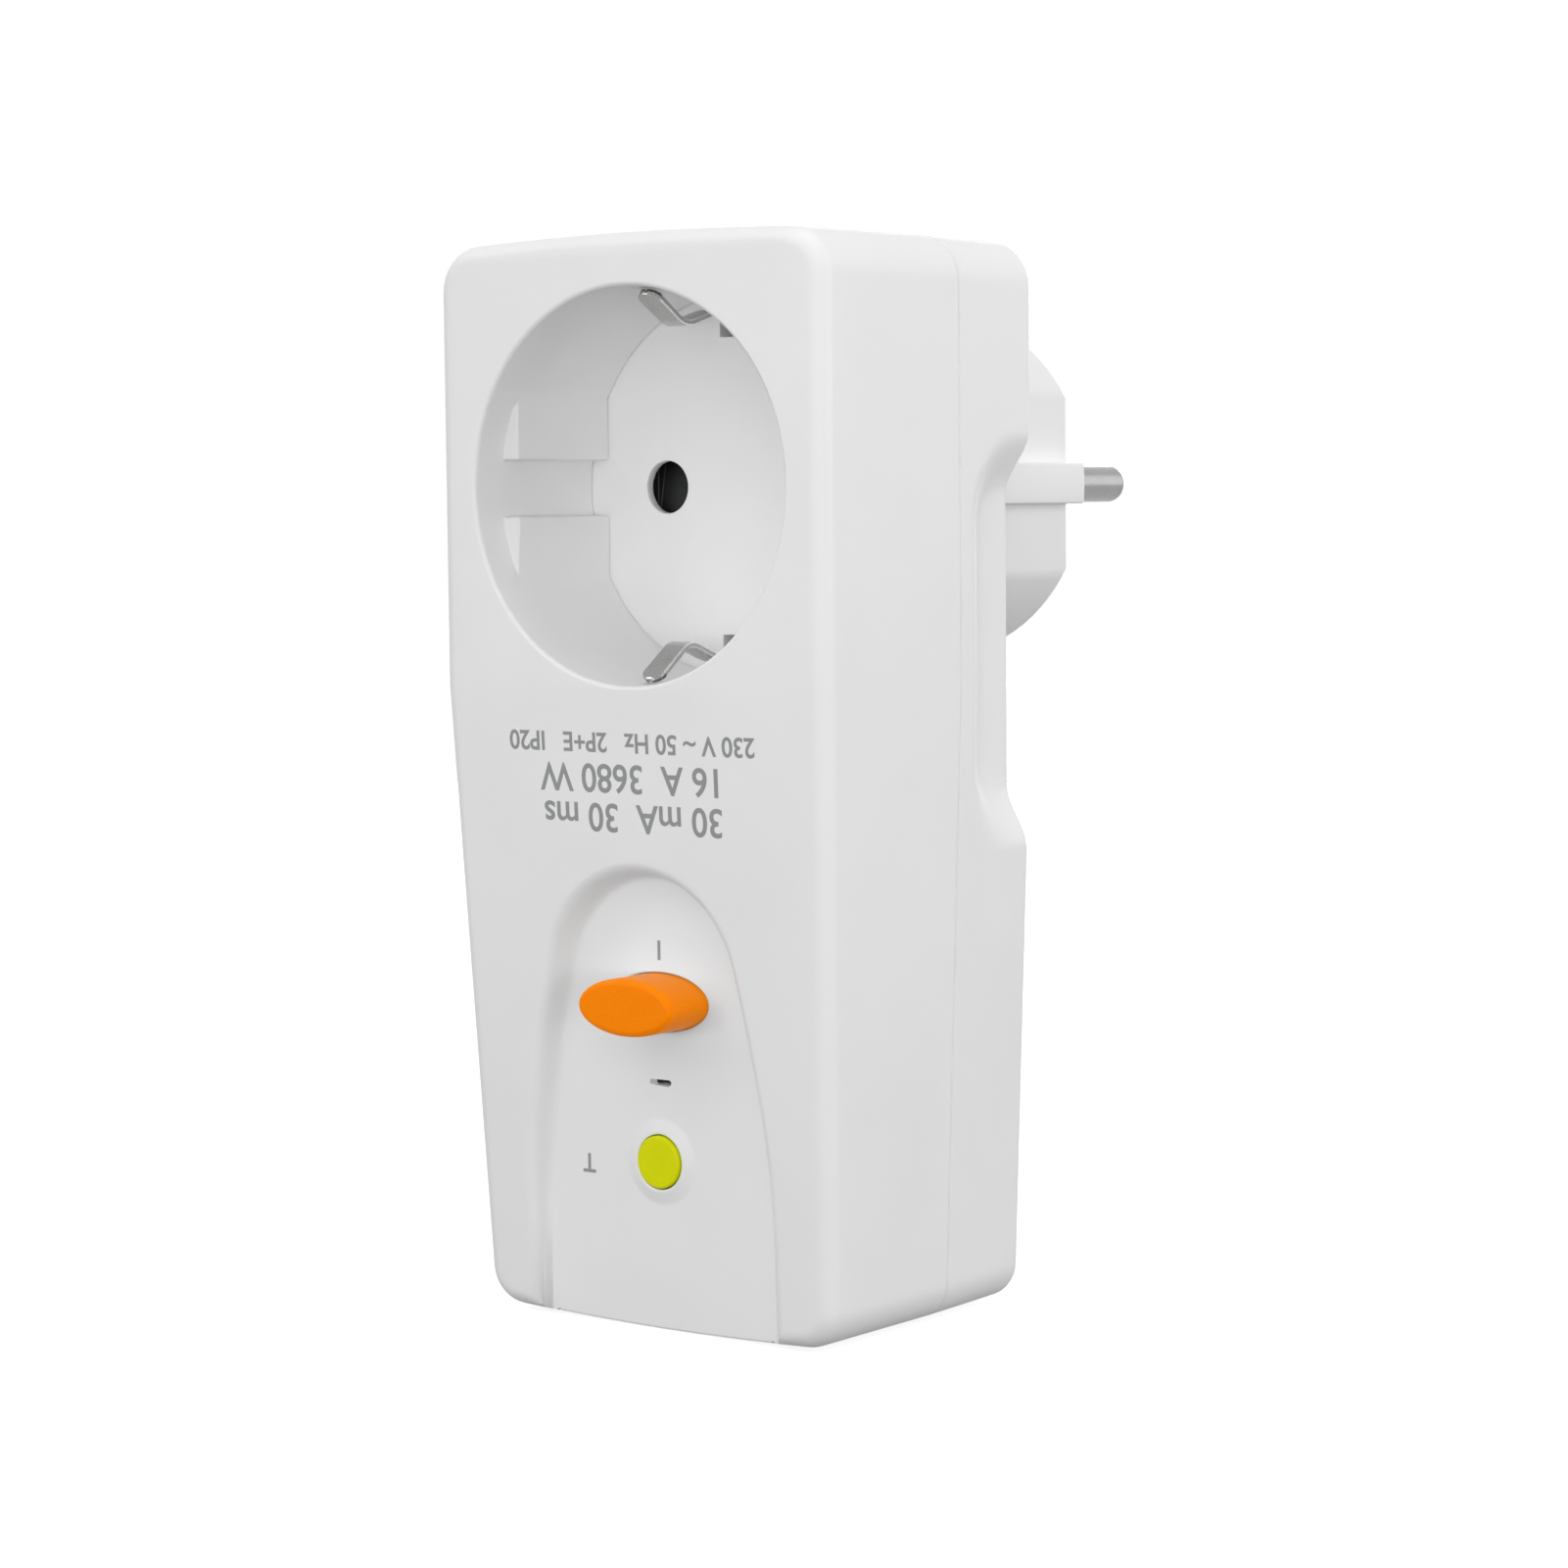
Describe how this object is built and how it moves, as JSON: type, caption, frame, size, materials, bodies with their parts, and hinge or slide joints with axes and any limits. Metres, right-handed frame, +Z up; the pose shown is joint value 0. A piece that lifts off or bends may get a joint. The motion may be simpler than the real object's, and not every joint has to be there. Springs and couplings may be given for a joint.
{
  "type": "rcd adapter plug",
  "caption": "Tall plug-in residual current adapter: a round earthed socket above a sunken arched panel with an orange reset button and a small test button, and a plug boss with pins behind.",
  "frame": {"origin": "on the face of the plug boss, midway between the two pins, on the socket's axis", "axes": "+Y along the pins, away from the user; +Z up; +X to the right seen from the front"},
  "size_m": [0.0488, 0.0751, 0.109],
  "materials": {
    "housing_white": "moulded, satin",
    "insert_white": "moulded, satin",
    "reset_orange": "moulded, satin",
    "test_yellow": "moulded, satin",
    "inner_plastic": "moulded",
    "dark_plastic": "moulded",
    "nickel_plate": "nickel plated, satin",
    "contact_brass": "stamped",
    "copper": "wound or stamped",
    "spring_steel": "drawn wire",
    "screw_steel": "zinc plated",
    "soft_iron": "stamped",
    "board_green": "solder resist",
    "capacitor_yellow": "moulded",
    "varistor_blue": "dipped"
  },
  "bodies": {
    "housing": {"front_housing": "housing_white", "rear_housing": "housing_white", "housing_screws": "screw_steel", "socket_insert": "insert_white", "shutter_spring": "spring_steel", "shutter_retainer": "spring_steel", "socket_earth_strap": "nickel_plate", "earth_link": "nickel_plate", "plug_earth_contacts": "nickel_plate", "live_pin": "nickel_plate", "neutral_pin": "nickel_plate", "live_socket_contact": "contact_brass", "neutral_socket_contact": "contact_brass", "contact_carrier": "inner_plastic", "carrier_screws": "screw_steel", "live_busbar": "copper", "neutral_busbar": "copper", "transformer_core": "soft_iron", "transformer_winding": "copper", "circuit_board": "board_green", "control_chip": "dark_plastic", "thyristor": "dark_plastic", "resistors": "dark_plastic", "capacitor": "capacitor_yellow", "varistor": "varistor_blue", "test_switch": "dark_plastic", "contact_base": "inner_plastic", "reset_spring": "spring_steel", "magnet_yoke": "soft_iron", "magnet_bobbin": "inner_plastic", "magnet_coil": "copper"},
    "reset": {"reset_button": "reset_orange", "contact_carriage": "inner_plastic", "live_bridge": "copper", "neutral_bridge": "copper", "armature": "soft_iron"},
    "test": {"test_button": "test_yellow", "test_plunger": "dark_plastic"},
    "shutter": {"shutter": "dark_plastic"}
  },
  "joints": [
    {"name": "reset_press", "type": "slide", "parent": "housing", "child": "reset", "axis": [0, 1, 0], "range_m": [0, 0.0035], "stiffness_N_per_m": 600, "springref_m": -0.002, "deforming": ["reset_spring"]},
    {"name": "test_press", "type": "slide", "parent": "housing", "child": "test", "axis": [0, 1, 0], "range_m": [0, 0.001], "stiffness_N_per_m": 1500, "springref_m": -0.0006},
    {"name": "shutter_turn", "type": "hinge", "parent": "housing", "child": "shutter", "pos_m": [0, -0.0327, 0], "axis": [0, -1, 0], "range_deg": [0, 45], "stiffness_Nm_per_rad": 0.004, "springref_deg": -17.19, "deforming": ["shutter_spring"]}
  ]
}
